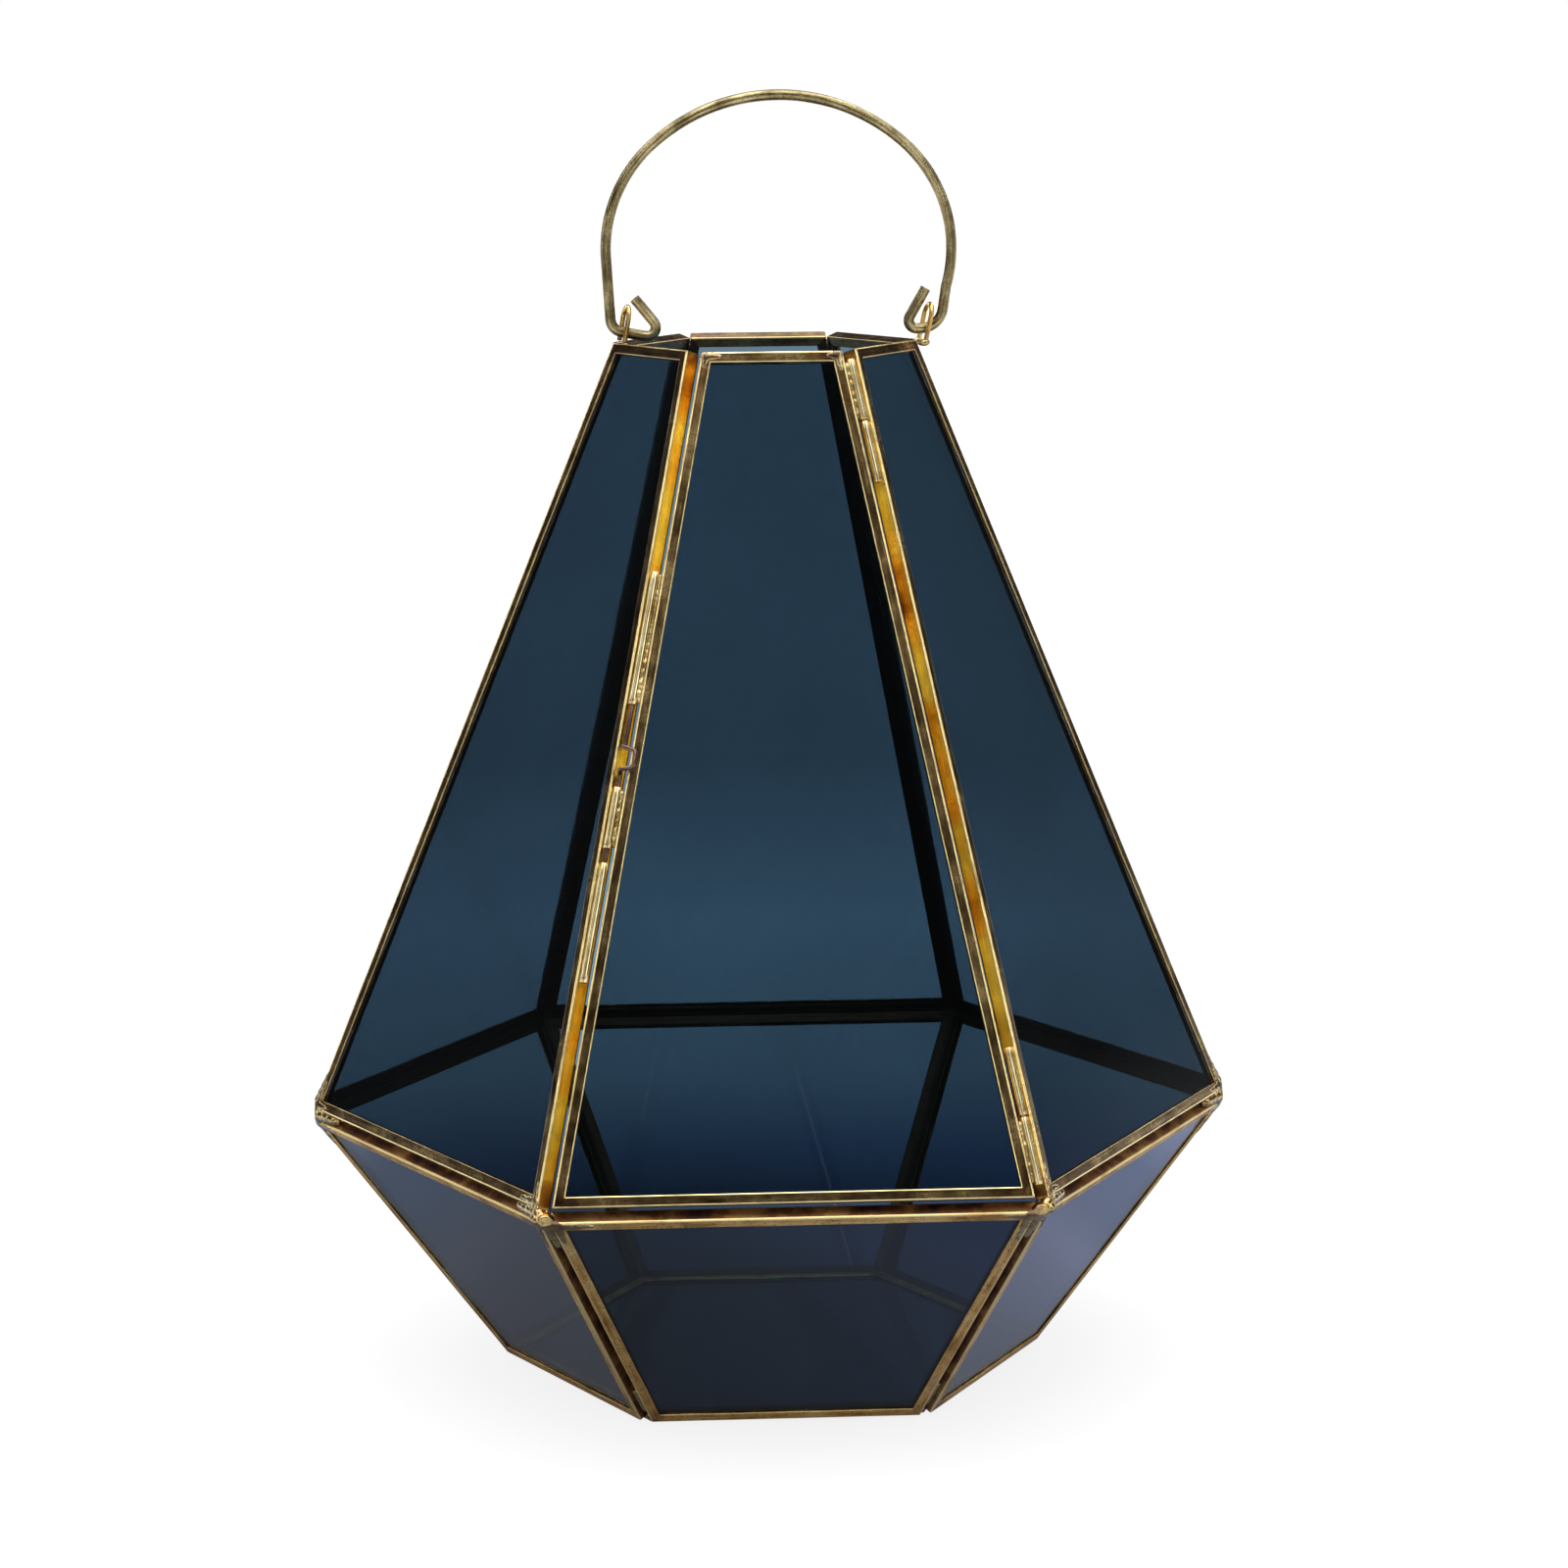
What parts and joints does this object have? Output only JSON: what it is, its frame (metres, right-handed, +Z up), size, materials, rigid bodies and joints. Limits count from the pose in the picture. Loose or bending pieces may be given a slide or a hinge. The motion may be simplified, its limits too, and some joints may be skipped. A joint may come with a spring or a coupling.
{
  "type": "glass terrarium lantern",
  "caption": "Six-sided smoked-glass lantern in brass channel frames, with a hinged front door, a sliding wire bolt, an open rim and a swinging wire bail.",
  "frame": {"origin": "centre of the underside of the base, on the surface it stands on", "axes": "+Z up, -Y towards the front door, +X to the right seen from the front (the hinge side)"},
  "size_m": [0.2564, 0.2241, 0.3545],
  "materials": {
    "smoked_glass": "smoked navy-blue float glass, clear and glossy",
    "channel": "antiqued brass channel, satin, with bright bent edges and darker patches",
    "solder": "brass-coloured solder, slightly lumpy and tarnished",
    "tube": "small drawn brass tube, satin",
    "bolt_wire": "brass wire with a dark purple-brown heat tint",
    "eyelet_wire": "amber brass wire",
    "bail_wire": "antiqued olive-gold brass wire, satin"
  },
  "bodies": {
    "body": {"base_frame": "channel", "base_glass": "smoked_glass", "base_solder": "solder", "belt_solder": "solder", "bolt_keeper": "tube", "eyelet_solder": "solder", "hinge_frame_solder": "solder", "keeper_solder": "solder", "left_eyelet": "eyelet_wire", "lower_edge_solder": "solder", "lower_frame_back": "channel", "lower_frame_back_left": "channel", "lower_frame_back_right": "channel", "lower_frame_front": "channel", "lower_frame_front_left": "channel", "lower_frame_front_right": "channel", "lower_frame_knuckle": "tube", "lower_glass_back": "smoked_glass", "lower_glass_back_left": "smoked_glass", "lower_glass_back_right": "smoked_glass", "lower_glass_front": "smoked_glass", "lower_glass_front_left": "smoked_glass", "lower_glass_front_right": "smoked_glass", "lower_hinge_pin": "bolt_wire", "right_eyelet": "eyelet_wire", "upper_edge_solder": "solder", "upper_frame_back": "channel", "upper_frame_back_left": "channel", "upper_frame_back_right": "channel", "upper_frame_front_left": "channel", "upper_frame_front_right": "channel", "upper_frame_knuckle": "tube", "upper_glass_back": "smoked_glass", "upper_glass_back_left": "smoked_glass", "upper_glass_back_right": "smoked_glass", "upper_glass_front_left": "smoked_glass", "upper_glass_front_right": "smoked_glass", "upper_hinge_pin": "bolt_wire"},
    "door": {"door_frame": "channel", "door_glass": "smoked_glass", "lower_door_knuckle": "tube", "upper_door_knuckle": "tube", "hinge_door_solder": "solder", "bolt_top_guide": "tube", "bolt_lower_guide": "tube", "guide_solder": "solder"},
    "bolt": {"bolt": "bolt_wire"},
    "handle": {"bail": "bail_wire"}
  },
  "joints": [
    {"name": "door_hinge", "type": "hinge", "parent": "body", "child": "door", "pos_m": [0.06384, -0.11058, 0.0735], "axis": [-0.1891, 0.3275, 0.9258], "range_deg": [0, 140]},
    {"name": "bolt_slide", "type": "slide", "parent": "door", "child": "bolt", "axis": [0.1891, 0.3275, 0.9258], "range_m": [-0.0028, 0.01]},
    {"name": "handle_swing", "type": "hinge", "parent": "body", "child": "handle", "pos_m": [0, 0, 0.2896], "axis": [1, 0, 0], "range_deg": [-95, 70]}
  ]
}
